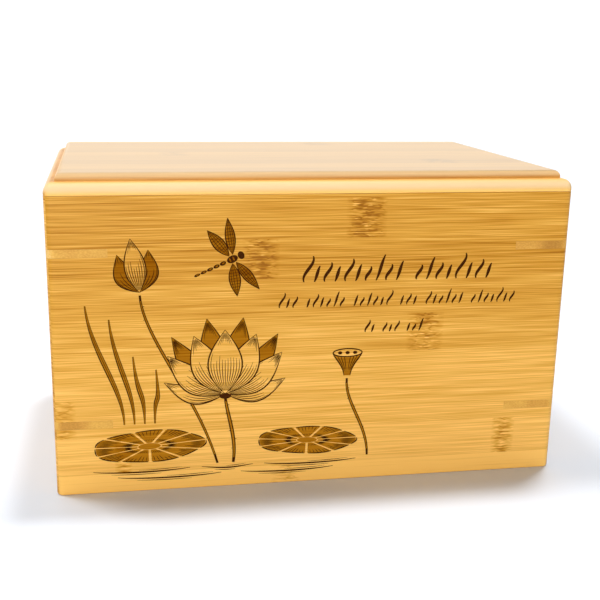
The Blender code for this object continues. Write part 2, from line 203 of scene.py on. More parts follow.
class Value:
    """A socket of a material. Arithmetic on it adds Math nodes, and node() adds any other."""

    def __init__(self, tree, socket=None):
        self.tree, self.socket = tree, socket

    def node(self, kind, settings=None, inputs=None, out=0):
        """Any node: its settings come first, a ramp's stops among them, then its sockets."""
        made = self.tree.nodes.new(kind)
        for name, setting in (settings or {}).items():
            if name == "stops":
                ramp = made.color_ramp
                while len(ramp.elements) < len(setting):
                    ramp.elements.new(0.5)
                for stop, (at, colour) in zip(ramp.elements, setting):
                    stop.position, stop.color = at, (*colour, 1.0)
            elif name == "ramp":
                made.color_ramp.interpolation = setting
            else:
                setattr(made, name, setting)
        for key, value in (inputs or {}).items():
            if isinstance(value, Value):
                self.tree.links.new(value.socket, made.inputs[key])
            else:
                made.inputs[key].default_value = value
        return Value(self.tree, made.outputs[out])

    def maths(self, operation, *values, **settings):
        """A Math node with that operation on the values."""
        settings["operation"] = operation
        return self.node("ShaderNodeMath", settings, dict(enumerate(values)))

    def __add__(self, other):
        return self.maths("ADD", self, other)

    def __sub__(self, other):
        return self.maths("SUBTRACT", self, other)

    def __rsub__(self, other):
        return self.maths("SUBTRACT", other, self)

    def __mul__(self, other):
        return self.maths("MULTIPLY", self, other)

    def __truediv__(self, other):
        return self.maths("DIVIDE", self, other)

    __radd__, __rmul__ = __add__, __mul__

    def floor(self):
        return self.maths("FLOOR", self)

    def fraction(self):
        """What is left of this value past its whole number."""
        return self.maths("FRACT", self)

    def size(self):
        """This value without its sign."""
        return self.maths("ABSOLUTE", self)

    def clamped(self):
        """This value kept between 0 and 1."""
        return self.maths("ADD", self, 0.0, use_clamp=True)

    def bump(self, middle, half):
        """1 at the middle, falling to 0 at half to each side: 1 less the square of the distance."""
        away = (self - middle) / half
        return (1 - away * away).clamped()

    def equals(self, number):
        """1 where this value is within a half of the number, else 0."""
        return self.maths("COMPARE", self, number, 0.5)

    def vector(self, x, y, z=0.0):
        return self.node("ShaderNodeCombineXYZ", None, {"X": x, "Y": y, "Z": z})

    def noise(self, x, y, z=0.0, detail=2.0):
        """Noise less its mean, about -0.4 to 0.4, at one wave for each unit of x, y and z."""
        fac = self.node("ShaderNodeTexNoise", None,
                        {"Vector": self.vector(x, y, z), "Scale": 1.0, "Detail": detail})
        return fac - 0.5

    def ramp(self, stops, kind="LINEAR"):
        """The colour at this value between the stops, which are pairs of a place and a colour."""
        return self.node("ShaderNodeValToRGB", {"stops": stops, "ramp": kind}, {"Fac": self})

    def mix(self, low, high):
        """Two colours mixed by this value: inputs 6 and 7 and output 2 are the node's colours."""
        return self.node("ShaderNodeMix", {"data_type": "RGBA"}, {0: self, 6: low, 7: high}, out=2)


def new_material(name):
    """A material with nodes: its shader, and its point in the row frame as three values."""
    made = bpy.data.materials.new(name)
    made.use_nodes = True
    tree = made.node_tree
    start = Value(tree)
    point = start.node("ShaderNodeTexCoord", out="Object")
    parts = [start.node("ShaderNodeSeparateXYZ", None, {0: point}, out=i) for i in range(3)]
    return made, tree.nodes["Principled BSDF"], parts


PITCH = 19.6 * MM
LOWEST_SEAM = 10.2 * MM
SEAM_HALF = 0.28 * MM
# On a plain wall, how far apart a strip's knuckles are, and half the width of one
KNUCKLE_SPACING = 0.31
KNUCKLE_HALF = 9.5 * MM
# The wood's colour, from its darkest fibres to its lightest
FIBRE_COLOURS = (
    (0.00, (0.318, 0.107, 0.002)), (0.20, (0.472, 0.187, 0.008)), (0.40, (0.594, 0.264, 0.024)),
    (0.55, (0.670, 0.320, 0.038)), (0.70, (0.748, 0.380, 0.058)), (0.85, (0.858, 0.456, 0.094)),
    (1.00, (0.995, 0.560, 0.130)),
)
# The painted highlight on the top's round edges, a pale colour in place of lamplight reflected there,
# and the painted sheen on its field, a paler colour in place of the lacquer's reflection of the room
PAINTED_EDGE_HIGHLIGHT = (0.930, 0.650, 0.350, 1.0)
PAINTED_FIELD_SHEEN = (0.600, 0.500, 0.250, 1.0)
# On the top board, its underside, how far its first strip reaches past the rim's foot, and how
# many millimetres up its step and its field are
TOP_LOW, TOP_HIGH = (corner.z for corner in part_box("top_board"))
EDGE_SHIFT = 1.5 * MM
STEP_RISE, FIELD_RISE = 6.3, 8.6
# What a burnt tone leaves of the wood's colour, and the colours of a dark burnt line
TONE_TINT = (0.46, 0.33, 0.06, 1.0)
CHAR_DARK, CHAR_LIGHT = (0.030, 0.007, 0.001, 1.0), (0.080, 0.022, 0.002, 1.0)
# How light each strip of the front is, from the foot to the top. The two lowest strips are set
# lighter than their own tone, painted light that makes up for the shade on the wall near the floor
FRONT_TONES = (1.04, 0.87, 0.77, 0.77, 0.66, 0.53, 0.46, 0.49, 0.46)
# The front's knuckles: strip from the foot, place from the left, half width, strength
FRONT_KNUCKLES = (
    (7, 153.5, 10.5, 1.0), (6, 101.5, 9.5, 0.8), (4, 186.0, 10.0, 0.9), (2, 4.5, 6.5, 0.7),
    (1, 33.0, 4.5, 0.8), (1, 232.0, 6.5, 0.9), (0, 115.0, 8.5, 0.6),
)


def fibres(start, u, w, seed, tones, knuckles, contrast):
    """How light bamboo is at u along and w across its strips, from 0 to 1, and its relief.

    Lightness is the strip's tone, plus long thin noises from broad bands down to hairs, plus the
    short blotches, cracks and glints of a knuckle, less a little at each seam. The noises' numbers
    are waves per metre along and across the strips.
    """
    row = (w - LOWEST_SEAM) / PITCH + 1
    strip = row.floor()
    chance = start.node("ShaderNodeTexWhiteNoise", {"noise_dimensions": "2D"},
                        {"Vector": start.vector(strip, seed)}, out="Value")
    shift = chance * 37 + seed
    if tones:
        steps = len(tones)
        stops = [(i / steps, (tone, tone, tone)) for i, tone in enumerate(tones)]
        # A product turns the ramp's colour into a plain value
        tone = ((strip + 0.5) / steps).ramp(stops, "CONSTANT") * 1.0
    else:
        tone = 0.45 + 0.42 * chance
    if knuckles:
        knuckle = None
        for number, place, half, strength in knuckles:
            one = strip.equals(number) * (u + WIDTH / 2).bump(place * MM, half * MM) * strength
            knuckle = one if knuckle is None else knuckle + one
    else:
        away = ((u / KNUCKLE_SPACING + chance * 7).fraction() - 0.5) * KNUCKLE_SPACING
        knuckle = away.bump(0.0, KNUCKLE_HALF)
    wave = start.noise(u * 5, w * 20, shift) * 1.2 * MM
    kink = start.noise(u * 150, w * 330, shift, 2.0) * (knuckle * 1.0 * MM)
    v = w + wave + kink
    broad = start.noise(u * 3, v * 90, shift, 1.0)
    streaks = start.noise(u * 5, v * 420, shift, 1.0)
    fine = start.noise(u * 9, v * 1150, shift, 1.0)
    hairs = start.noise(u * 28, v * 2300, shift, 1.0)
    lines = ((0.06 - start.noise(u * 4, v * 260, shift + 9, 1.0).size()) * 17).clamped()
    depth = (start.noise(u * 14, v * 120, shift + 5, 1.0) * 2.5 + 0.5).clamped()
    plain = broad * 0.30 + streaks * 0.20 + fine * 0.62 + hairs * 1.20 - lines * depth * 0.18
    plain = (plain + 0.02) * (1.55 - tone * 1.15) * contrast
    blotches = start.noise(u * 130, v * 800, shift, 2.0)
    cracks = ((0.06 - start.noise(u * 110, v * 600, shift + 7, 1.0).size()) * 17).clamped()
    glints = ((start.noise(u * 200, v * 1300, shift + 4, 1.0) - 0.09) * 7).clamped()
    light = tone + plain + knuckle * (blotches * 1.8 - 0.19 - cracks * 0.45 + glints * 0.55)
    edge = (0.5 - (row.fraction() - 0.5).size()) * PITCH
    broken = (0.5 + start.noise(u * 25, strip * 3.1) * 2.2).clamped()
    seam = (1 - edge / SEAM_HALF).clamped() * broken
    light = (light - seam * 0.22).clamped()
    relief = streaks * 0.5 + fine * 0.5 + knuckle * blotches
    return light, relief


def turned_over(start, point, light, seed):
    """On the top board: its lightness with end fibres as specks, its slope and its height in mm.

    Ends is how far the face looks to the side, where the strips are cut across, and the specks
    are noise of one wave per 0.8 mm. Upwards is how far the face looks up, 1 where it is level.
    """
    facing = start.node("ShaderNodeNewGeometry", out="Normal")
    sideways, upwards = (start.node("ShaderNodeSeparateXYZ", None, {0: facing}, out=i) for i in (0, 2))
    ends = ((sideways.size() - 0.6) * 5).clamped()
    specks = start.noise(point[1] * 1300, point[2] * 1300, seed) * 1.1 + 0.5
    return light + ends * (specks - light), upwards, (point[2] - TOP_LOW) / MM


def bamboo(name, axes, seed, tones=None, knuckles=None, contrast=1.0, roughness=0.36, coat=0.06,
           painted_rim_highlight=0.0, burnt=False):
    """Lacquered bamboo: axes are the numbers of the axes along and across its strips.

    For the top board, the strength of a painted highlight: its strips turn down over its edge, whose
    round slopes are painted pale by that much in place of a lamp's reflection, and its field gets a
    paler painted sheen; it keeps its full lacquer on the raised field alone. A burnt one is darkened
    by the mesh's burn values and has no lacquer.
    """
    made, shader, point = new_material(name)
    tree = made.node_tree
    start = point[0]
    u, w = (point[axis] for axis in axes)
    if painted_rim_highlight:
        w = w + DEPTH / 2 + (point[2] - TOP_LOW) - EDGE_SHIFT
    light, relief = fibres(start, u, w, seed, tones, knuckles, contrast)
    if painted_rim_highlight:
        light, upwards, rise = turned_over(start, point, light, seed)
    colour = light.clamped().ramp(FIBRE_COLOURS)
    if painted_rim_highlight:
        on_field = (rise - FIELD_RISE).clamped()
        # Painted sheen: the level field is painted paler and greyer, in place of the lacquer's
        # reflection of the bright room
        colour = (on_field * upwards.clamped() * 0.4).mix(colour, PAINTED_FIELD_SHEEN)
        # Painted highlight: slopes that face neither up nor out are painted pale where a lamp's
        # reflection would lie, less so on the field's round
        painted_highlight_mask = (upwards * (1 - upwards) * 4).clamped() * (1 - (rise - STEP_RISE).clamped() * 0.35)
        colour = (painted_highlight_mask * painted_rim_highlight).mix(colour, PAINTED_EDGE_HIGHLIGHT)
        lacquer = 0.25 + ((upwards - 0.85) * 8).clamped() * on_field * 0.75
        tree.links.new(lacquer.socket, shader.inputs["Coat Weight"])
    else:
        shader.inputs["Coat Weight"].default_value = coat
    if burnt:
        burn = start.node("ShaderNodeAttribute", {"attribute_name": "burn"}, out="Fac")
        toned = start.node("ShaderNodeMix", {"data_type": "RGBA", "blend_type": "MULTIPLY"},
                           {0: 1.0, 6: colour, 7: TONE_TINT}, out=2)
        char = (start.noise(u * 900, w * 900, seed) + 0.5).mix(CHAR_DARK, CHAR_LIGHT)
        colour = burn.mix(toned, char)
    tree.links.new(colour.socket, shader.inputs["Base Color"])
    rough = roughness + relief * 0.10
    tree.links.new(rough.socket, shader.inputs["Roughness"])
    bump = start.node("ShaderNodeBump", None,
                      {"Strength": 0.25, "Distance": 0.05 * MM, "Height": relief})
    tree.links.new(bump.socket, shader.inputs["Normal"])
    shader.inputs["Coat Roughness"].default_value = 0.22
    shader.inputs["Specular IOR Level"].default_value = 0.02 if burnt else 0.10
    return made


def plain_wall(side, seed):
    """A wall without the engraving, its strips lying along it."""
    plans, heights, _ = wall_levels(along(side))
    points, quads, ends = loft(plans, heights)
    mesh = finished_mesh(f"{side}_wall", turned(points, side), quads.reshape(-1, 4).tolist() + ends)
    axes = (0, 2) if side == "back" else (1, 2)
    wood = bamboo(f"bamboo_{side}", axes, seed)
    add_piece(f"{side}_wall", mesh, [f"{side}_board"], "bamboo_side", wood)


plain_wall("back", 5.0)
plain_wall("left", 11.0)
plain_wall("right", 17.0)


# The engraving: a picture of a lotus pond and three rows of script-like strokes, scorched into
# the front by a hot beam. Fine lines burn dark, and shaded areas are skimmed to a brown tone
# with the fibres still showing. A point is right + up*1j in millimetres from the lower left.

BLANK, TONE, LINE = 0, 1, 2
chances = np.random.default_rng(7)
burnt = []


def bezier(a, b, c, d, count=16):
    """A cubic curve from a to d, drawn towards b and c."""
    t = np.linspace(0, 1, count)
    return (1 - t) ** 3 * a + 3 * (1 - t) ** 2 * t * b + 3 * (1 - t) * t**2 * c + t**3 * d


def stroke(path, width, ends=0.3, level=LINE):
    """A line of that half width, its ends thinner: the path moved square to itself both ways."""
    swell = ends + (1 - ends) * np.sin(np.pi * np.linspace(0, 1, len(path)))
    run = np.gradient(path)
    square = 1j * run / np.abs(run) * width * swell
    burnt.append((level, np.concatenate([path + square, (path - square)[::-1]])))


def area(outline, level):
    """A filled shape at that level, or a bare one cut out of what lies under it."""
    burnt.append((level, outline))


def oval(centre, long_half, wide_half, heading=0.0, count=20):
    """An ellipse by its two half sizes, turned by heading in degrees."""
    turns = np.linspace(0, 2 * np.pi, count, endpoint=False)
    ring = long_half * np.cos(turns) + 1j * wide_half * np.sin(turns)
    return centre + ring * np.exp(1j * np.radians(heading))


def petal_line(base, tip, width, bow, share, start, end, count=16):
    """A line up a petal: share -1 is its left edge, 0 its midrib and 1 its right edge."""
    t = np.linspace(start, end, count)
    axis = tip - base
    middle = base + axis * t + 1j * axis * bow * np.sin(np.pi * t)
    half = width / 2 * np.sin(np.pi * t**0.9)
    return middle - 1j * axis / abs(axis) * half * share


def petal(base, tip, width, bow=0.0, hatches=9, ground=BLANK, line=0.38):
    """A petal: its ground, hatching that thins out from the base and from the tip, and its edges."""
    left = petal_line(base, tip, width, bow, -1, 0.0, 1.0, 22)
    right = petal_line(base, tip, width, bow, 1, 0.0, 1.0, 22)
    area(np.concatenate([left, right[-2:0:-1]]), ground)
    for share in np.linspace(-0.84, 0.84, hatches):
        reach = 0.42 + 0.20 * chances.random() + 0.12 * share**2
        stroke(petal_line(base, tip, width, bow, share, 0.05, reach, 9), 0.20, 0.4)
    for share in np.linspace(-0.66, 0.66, max(hatches - 3, 0)):
        start = 0.80 + 0.07 * chances.random() - 0.10 * abs(share)
        stroke(petal_line(base, tip, width, bow, share, start, 0.95, 6), 0.15, 0.3)
    stroke(petal_line(base, tip, width, bow, -1, 0.0, 1.0, 22), line, 0.35)
    stroke(petal_line(base, tip, width, bow, 1, 0.0, 1.0, 22), line, 0.35)


def lotus_bloom(heart):
    """An open lotus from the side: petals fan out from its heart, those behind in a burnt tone."""
    rows = [  # lean from upright in degrees, length, width, bow, ground
        (41, 40, 12, -0.07, TONE), (13, 40, 14, -0.02, TONE), (77, 31, 9, -0.12, BLANK),
        (54, 35, 13, -0.09, BLANK), (27, 34, 15, -0.05, BLANK), (0, 33, 17, 0.0, BLANK),
    ]
    for lean, length, width, bow, ground in rows:
        for side in (-1, 1) if lean else (1,):
            tip = heart + length * np.exp(1j * np.pi * (0.5 - side * lean / 180))
            petal(heart, tip, width, side * bow, 11 if width > 10 else 7, ground)
    area(oval(heart - 1.2j, 3.0, 1.5), LINE)


def lotus_bud(heart, tip):
    """A closed bud: two petals lean out behind the front one."""
    for side in (-1, 1):
        lean = 0.8 * np.exp(-0.36j * side)
        petal(heart, heart + (tip - heart) * lean, 9, -0.12 * side, 6, TONE, 0.32)
    petal(heart, tip, 10, 0.0, 8, BLANK, 0.32)


def stem(path, width):
    """A round stem: dark edges, a lighter core and short prickles."""
    stroke(path, width, 0.7)
    stroke(path[1:-1], width * 0.42, 0.6, TONE)
    for i in range(2, len(path) - 2, 2):
        run = path[i + 1] - path[i]
        square = 1j * run / abs(run) * (1 if i % 4 else -1)
        stroke(path[i] + square * np.linspace(0.6, 1.6, 3) * width, 0.16, 0.4)


def lily_pad(centre, half_width, half_height, tilt):
    """A floating leaf on the slant: toned sectors between bare ribs, shaded from the rim inwards."""
    ribs = 11
    turn = np.exp(1j * np.radians(tilt))

    def point(angle, share):
        rim = 1 + 0.03 * np.cos(5 * angle)
        flat = half_width * np.cos(angle) + 1j * half_height * np.sin(angle)
        return centre + turn * share * rim * flat

    for i in range(ribs):
        start = 2 * np.pi * (i + 0.5) / ribs + 0.5 * np.pi
        span = 2 * np.pi / ribs
        low, high = point(start + 0.10, 0.22), point(start + span - 0.10, 0.22)
        arc = point(np.linspace(start + 0.025, start + span - 0.025, 10), 0.97)
        area(np.concatenate([[low], arc, [high]]), TONE)
        for share in (0.16, 0.30, 0.44, 0.58, 0.72, 0.86):
            angle = start + span * share
            inner = 0.62 + 0.16 * chances.random()
            stroke(point(angle, np.linspace(inner, 0.965, 6)), 0.17, 0.3)
            stroke(point(angle, np.linspace(0.32, 0.44 + 0.06 * chances.random(), 4)), 0.14, 0.3)
        stroke(point(np.linspace(start + 0.04, start + span - 0.04, 10), 0.985), 0.32, 0.5)
    area(oval(centre, 0.20 * half_width, 0.20 * half_height, tilt), TONE)


def seed_pod(foot, height, radius):
    """A goblet of seeds: a toned cup with dark flutes, a pale face and dark seeds."""
    top = foot + 1j * height
    sides = [bezier(foot + side * 1.6, foot + side * 2.2 + 1j * height * 0.5,
                    top + side * radius - 2j, top + side * radius) for side in (-1, 1)]
    area(np.concatenate([sides[0], sides[1][::-1]]), TONE)
    for share in (0.12, 0.24, 0.38, 0.62, 0.76, 0.88):
        stroke((sides[0] * (1 - share) + sides[1] * share)[2:14], 0.20, 0.4)
    for side in sides:
        stroke(side, 0.36, 0.5)
    area(oval(top, radius, 0.28 * radius), BLANK)
    rim = oval(top, radius, 0.28 * radius, count=28)
    stroke(np.concatenate([rim, rim[:1]]), 0.34, 0.9)
    for i in range(3):
        area(oval(top + (i - 1) * radius * 0.52, 1.15, 0.85, count=14), LINE)


def dragonfly(heart, heading):
    """A dragonfly from above: four netted wings, a dark head, a banded thorax and a jointed tail."""
    turn = np.exp(1j * np.radians(heading))
    for side in (1, -1):
        for root, lean, length, width in ((-0.2, 106, 16.5, 5.4), (1.6, 74, 18, 4.6)):
            start = heart + turn * (root + 2.0j * side)
            tip = start + length * turn * np.exp(1j * side * np.radians(lean))
            petal(start, tip, width, 0.0, 0, TONE, 0.30)
            for share in (-0.4, 0.15, 0.6):
                stroke(petal_line(start, tip, width, 0.0, share, 0.04, 0.96, 12), 0.15, 0.6)
            for t in np.linspace(0.2, 0.88, 9):
                shares = np.linspace(-0.9, 0.9, 5)
                rungs = [petal_line(start, tip, width, 0.0, s, t, t + 0.02, 2)[0] for s in shares]
                stroke(np.array(rungs), 0.11, 0.8)
    for i in range(5):
        area(oval(heart + turn * (-4.4 - 3.4 * i), 1.6, 1.0 - 0.09 * i, heading), LINE)
        area(oval(heart + turn * (-4.2 - 3.4 * i), 0.7, 0.4 - 0.03 * i, heading), TONE)
    area(oval(heart + turn * 0.6, 2.8, 1.8, heading), LINE)
    for across_body in (-0.6, 1.2):
        area(oval(heart + turn * across_body, 0.35, 1.1, heading), TONE)
    area(oval(heart + turn * 5.2, 1.6, 2.0, heading), LINE)


def reed(root, tip, width):
    """A long leaf: a toned blade, one dark edge, a midrib and short strokes along its lower half."""
    path = bezier(root, root + 20j, tip - 24j + 2, tip, 24)
    stroke(path, width, 0.25, TONE)
    run = np.gradient(path)
    swell = width * (0.25 + 0.75 * np.sin(np.pi * np.linspace(0, 1, len(path))))
    square = 1j * run / np.abs(run) * swell
    stroke(path + square, 0.26, 0.5)
    stroke(path - square, 0.18, 0.5)
    stroke(path[2:-3], 0.14, 0.4)


def ripples():
    """Rings on the water seen flat: a long line with two thinner ones beside it, five times."""
    for i, (left, right) in enumerate([(18, 66), (72, 98), (104, 152), (30, 82), (92, 140)]):
        low = 11.5 - 3.6 * (i // 3)
        path = bezier(left + 1j * low, left + 12 + 1j * (low - 1.6), right - 12 + 1j * (low - 1.6),
                      right + 1j * low, 20)
        stroke(path, 0.42)
        stroke(path[4:-6] - 1.1j, 0.20)
        stroke(path[9:-2] + 1.0j, 0.16)


def script_row(middle, half_length, height, words, width):
    """A row of slanting brush strokes in groups, in place of words. None of them is a letter."""
    rises = (1.0, 0.62, 0.74, 0.58, 0.86, 0.64, 0.55)
    pitch = 2 * half_length / (sum(words) + len(words) - 1)
    at, n = -half_length, 0
    for word in words:
        for _ in range(word):
            rise = height * rises[n % len(rises)]
            foot = middle + at + pitch / 4 - 0.5j * height
            head = foot + rise * (0.34 + 1j)
            swell = 0.16 * rise * (1 if n % 2 else -1)
            stroke(bezier(foot, foot + swell + 0.33j * rise, head - swell - 0.33j * rise, head, 14),
                   width, 0.35)
            at, n = at + pitch, n + 1
        at += pitch


bloom, bud, pod = 84 + 50j, 43 + 103j, 146 + 57j
for i in range(4):
    reed(34 + 5 * i + 36j, 17 + 11 * i + (97 - 13 * i + 6 * (i % 2)) * 1j, 1.0)
stem(bezier(pod - 1.5j, 145 + 42j, 158 + 30j, 158 + 13j), 0.8)
stem(bezier(bud - 1.5j, 44 + 80j, 70 + 50j, 80 + 13j, 24), 0.8)
stem(bezier(bloom - 2j, 85 + 38j, 90 + 26j, 88 + 13j), 1.0)
lily_pad(126 + 23j, 26, 7.4, -2)
lily_pad(46 + 24j, 28, 8.4, 2)
dragonfly(87 + 118j, 24)
seed_pod(pod, 12, 7.5)
lotus_bud(bud, 39 + 129j)
lotus_bloom(bloom)
ripples()
script_row(171.0 + 112.5j, 49.5, 13.0, (10, 8), 0.82)
script_row(171.5 + 97.0j, 61.5, 7.6, (3, 6, 6, 3, 6, 7), 0.56)
script_row(169.5 + 82.6j, 15.5, 6.4, (2, 3, 3), 0.56)


# The front wall: a board like the others, with the engraving sunk into its face. Its face is cut
# into triangles along every burnt edge, each lies at the depth of what was burnt there last, and
# upright walls close the steps.

# How deep each level of burning lies, and how far its colour goes from a tone to a dark line
BURN_DEPTHS = np.array([0.0, 0.12, 0.40]) * MM
BURN_SHADES = np.array([0.0, 0.0, 1.0])
# How near two points of the net are one, in millimetres, and twice the area in square millimetres
# under which a triangle is empty
SAME_POINT = 1e-5
EMPTY = 1e-9


def inside(points, outline):
    """Which points lie in a closed outline: those with an odd number of edges to their right."""
    a, b = outline, np.roll(outline, -1)
    found = np.zeros(len(points), bool)
    box = ((points.real > a.real.min()) & (points.real < a.real.max())
           & (points.imag > a.imag.min()) & (points.imag < a.imag.max()))
    p = points[box][:, None]
    crosses = (a.imag > p.imag) != (b.imag > p.imag)
    rise = np.where(a.imag == b.imag, 1.0, b.imag - a.imag)
    at = a.real + (p.imag - a.imag) * (b.real - a.real) / rise
    found[box] = (crosses & (p.real < at)).sum(1) % 2 == 1
    return found


def face_outline(heights, slotted):
    """The flat face's edge in millimetres, with a point wherever the rest of the wall has one.

    Its left side runs up from the foot, and steps in to the slots' reach and out again at each slot.
    """
    start, reach, length = (size / MM for size in (FLAT_START, SLOT_REACH, WIDTH))
    rise = np.unique(np.round(heights[~slotted & (heights > FOOT_RADIUS)] / MM, 6))
    slots = np.array(SLOT_HEIGHTS) / MM
    after = np.searchsorted(rise, slots[:, 0] - 0.001) + 1
    left = np.insert(start + 1j * rise, np.repeat(after, 2), reach + 1j * slots.ravel())
    right = length - left.conj()
    foot, top = (np.array([reach, length - reach]) + 1j * rise[end] for end in (0, -1))
    return np.concatenate([left[:1], foot, right, top[::-1], left[:0:-1]])


def burnt_face(outline):
    """Points (length, depth, height), faces and levels of burning of the engraved face.

    All outlines are cut into one net of triangles, and a triangle takes the level of the last
    shape that it lies in. The net is repeated at each level's depth, and where a triangle meets a
    deeper one, an upright wall closes each step between them.
    """
    corners, edges = [], []
    for shape in [outline] + [shape for _, shape in burnt]:
        first = len(corners)
        corners += [Vector((p.real, p.imag)) for p in shape]
        edges += [(first + i, first + (i + 1) % len(shape)) for i in range(len(shape))]
    # Kind 0 is triangles over the whole hull, and points nearer than SAME_POINT are merged
    made, _, cut, *_ = delaunay_2d_cdt(corners, edges, [], 0, SAME_POINT, False)
    flat = np.array([v[:] for v in made]) @ [1, 1j]
    faces = np.array([f for f in cut if len(f) == 3])
    a, b, c = (flat[faces[:, i]] for i in range(3))
    turn = ((b - a).conj() * (c - a)).imag
    faces[turn < 0] = faces[turn < 0][:, ::-1]
    middles = flat[faces].mean(1)
    keep = inside(middles, outline) & (np.abs(turn) > EMPTY)
    faces, middles = faces[keep], middles[keep]
    levels = np.zeros(len(faces), int)
    for level, shape in burnt:
        levels[inside(middles, shape)] = level
    sides = np.concatenate([faces[:, [i, (i + 1) % 3]] for i in range(3)])
    owners = np.tile(np.arange(len(faces)), 3)
    count = len(flat)
    there, back = sides[:, 0] * count + sides[:, 1], sides[:, 1] * count + sides[:, 0]
    order = np.argsort(there)
    found = np.searchsorted(there[order], back).clip(max=len(there) - 1)
    paired = there[order][found] == back
    mine, other = owners[paired], owners[order][found[paired]]
    steps, deeper = [], []
    for level in (BLANK, TONE):
        falls = (levels[mine] <= level) & (levels[other] > level)
        near, far = sides[paired][falls].T
        steps.append(np.column_stack([near + level * count, near + (level + 1) * count,
                                      far + (level + 1) * count, far + level * count]))
        deeper.append(levels[other][falls])
    points = np.concatenate([np.column_stack([flat.real * MM - WIDTH / 2, np.full(count, depth),
                                              flat.imag * MM]) for depth in BURN_DEPTHS])
    all_faces = (faces + levels[:, None] * count).tolist() + np.concatenate(steps).tolist()
    return points, all_faces, np.concatenate([levels, *deeper])


def front_wall():
    """The loft of a wall, with its flat face left out between the slots and the burnt face there."""
    plans, heights, slotted = wall_levels(along("front"))
    points, quads, ends = loft(plans, heights)
    kept = np.ones(quads.shape[:2], bool)
    on_face = heights[:-1] > FOOT_RADIUS
    beside_slot = slotted[:-1] | slotted[1:]
    left, middle, right = len(ARC) + np.arange(3)
    kept[on_face, middle] = False
    kept[on_face & ~beside_slot, left] = False
    kept[on_face & ~beside_slot, right] = False
    sunk, cuts, levels = burnt_face(face_outline(heights, slotted))
    faces = quads[kept].tolist() + ends
    levels = np.concatenate([np.zeros(len(faces), int), levels])
    faces += [[len(points) + i for i in cut] for cut in cuts]
    return finished_mesh("front_wall", turned(np.concatenate([points, sunk]), "front"), faces,
                         BURN_SHADES[levels], (levels > BLANK).astype(int))


add_piece("front_wall", front_wall(), ["front_board"], "bamboo_front",
          bamboo("bamboo_front", (0, 2), 1.0, FRONT_TONES, FRONT_KNUCKLES),
          bamboo("bamboo_scorched", (0, 2), 1.0, FRONT_TONES, FRONT_KNUCKLES, roughness=0.7, coat=0.0,
                 burnt=True))


# The keys: slips of bamboo 4 mm thick, glued into slots sawn across the mitres and trimmed flush.
# Each is a triangle in plan, with its long side inside the wall and its corner rounded over with
# the boards. They show their speckled ends of fibre on both faces.

CORNERS = {"front_left": (-1, -1), "front_right": (1, -1), "back_left": (-1, 1), "back_right": (1, 1)}
KEY_ARC = np.radians(np.linspace(180, 270, 17))
# How far in from its corner a key is chipped pale
KEY_CHIP = 3.0 * MM
# How light each key is at its corner and at its far end
KEY_LOOKS = {
    "front_left_upper": (0.46, 0.46), "front_left_lower": (0.22, 0.52),
    "front_right_upper": (0.05, 0.40), "front_right_lower": (0.38, 0.50),
    "back_left_upper": (0.40, 0.55), "back_left_lower": (0.30, 0.40),
    "back_right_upper": (0.55, 0.45), "back_right_lower": (0.20, 0.50),
}


def key_slip(name, near, far, seed):
    """Fibre ends: small speckles, a little longer along the slip, paler on the rounded corner."""
    made, shader, (x, y, z) = new_material(name)
    inwards = x.maths("MAXIMUM", WIDTH / 2 - x.size(), DEPTH / 2 - y.size())
    reach = ((inwards - 0.4 * KEY_REACH) / (0.25 * KEY_REACH)).clamped()
    chip = (1 - (inwards - 0.5 * KEY_CHIP) / KEY_CHIP).clamped()
    cloud = x.noise(x * 110, y * 110, z * 160 + seed, 2.0)
    speck = x.noise(x * 900, y * 900, z * 1700 + seed, 1.0)
    light = (near + reach * (far - near) + cloud * 0.4 + speck * 0.55 + chip * 0.35).clamped()
    colour = light.ramp(((0.0, (0.460, 0.205, 0.030)), (0.35, (0.640, 0.310, 0.052)),
                         (0.65, (0.780, 0.430, 0.080)), (1.0, (0.900, 0.580, 0.210))))
    made.node_tree.links.new(colour.socket, shader.inputs["Base Color"])
    shader.inputs["Roughness"].default_value = 0.42
    shader.inputs["Specular IOR Level"].default_value = 0.1
    shader.inputs["Coat Weight"].default_value = 0.06
    shader.inputs["Coat Roughness"].default_value = 0.30
    return made


def key(corner, level, seed):
    """One slip: its plan drawn for the front left corner, mirrored to its own, and lofted."""
    sx, sy = CORNERS[corner]
    arc = CORNER_RADIUS * (1 + 1j) + CORNER_RADIUS * np.exp(1j * KEY_ARC)
    outline = np.concatenate([[FLAT_START * 1j], arc, [FLAT_START, KEY_REACH, KEY_REACH * 1j]])
    low, high = (point.z for point in KEY_BOXES[level])
    placed = sx * (WIDTH / 2 - outline.real) + 1j * sy * (DEPTH / 2 - outline.imag)
    if sx * sy < 0:
        placed = placed[::-1]
    points, quads, ends = loft(np.array([placed, placed]), np.array([low, high]))
    name = f"{corner}_{level}_slip"
    mesh = finished_mesh(name, points, quads.reshape(-1, 4).tolist() + ends)
    near, far = KEY_LOOKS[f"{corner}_{level}"]
    add_piece(name, mesh, [f"key_{corner}_{level}"], "bamboo_key", key_slip(name, near, far, seed))


for n, corner in enumerate(CORNERS):
    for m, level in enumerate(LEVELS):
        key(corner, level, 3.0 + 2.7 * n + 5.3 * m)


# The top: one board of the same strips, glued down on the walls. Its edge is turned over in a
# quarter round, then steps in and up to a raised field with a smaller quarter round.

RIM_FLAT = 1.2 * MM
RIM_RADIUS = 4.8 * MM
FIELD_INSET = 5.4 * MM
FIELD_RADIUS = 3.0 * MM


def quarter_round(inset, low, radius, steps):
    """A round from upright to level: the inset grows by radius(1 - cos), the height by radius sin."""
    turns = np.linspace(0, np.pi / 2, steps)
    return [(inset + radius * (1 - math.cos(a)), low + radius * math.sin(a)) for a in turns]


